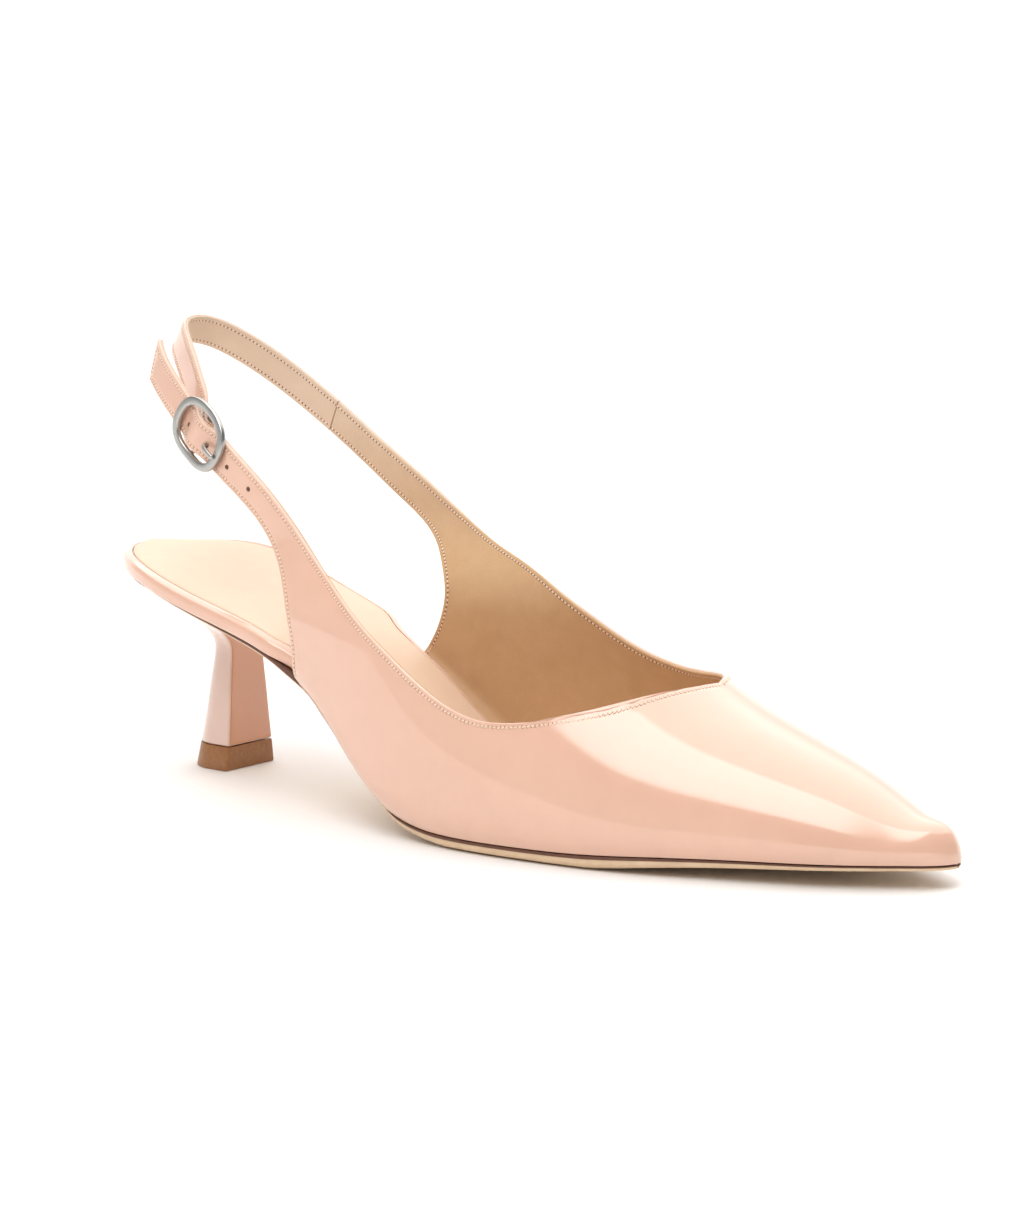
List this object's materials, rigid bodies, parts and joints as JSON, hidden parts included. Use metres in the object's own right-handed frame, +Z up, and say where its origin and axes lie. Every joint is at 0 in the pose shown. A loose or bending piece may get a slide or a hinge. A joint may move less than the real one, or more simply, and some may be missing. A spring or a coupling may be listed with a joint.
{
  "type": "slingback pump",
  "caption": "Women's right slingback pump with a pointed toe, open back, flared kitten heel and a buckled heel strap.",
  "frame": {"origin": "middle of the heel's top piece, on the floor", "axes": "+X from the heel to the toe, +Y to the medial side, +Z up from the floor"},
  "size_m": [0.2497, 0.0771, 0.1133],
  "materials": {
    "patent_leather": "glossy patent",
    "lining_leather": "matte, fine grain",
    "sole_leather": "dyed edge, smooth natural tread",
    "heel_rubber": "semi-matte",
    "satin_nickel": "satin nickel plating"
  },
  "bodies": {
    "root": {"outsole": "sole_leather", "upper": "patent_leather", "insole_board": "patent_leather", "sock_lining": "lining_leather", "heel": "patent_leather", "top_piece": "heel_rubber", "back_strap": "patent_leather", "buckle_frame": "satin_nickel", "buckle_prong": "satin_nickel"}
  },
  "joints": []
}
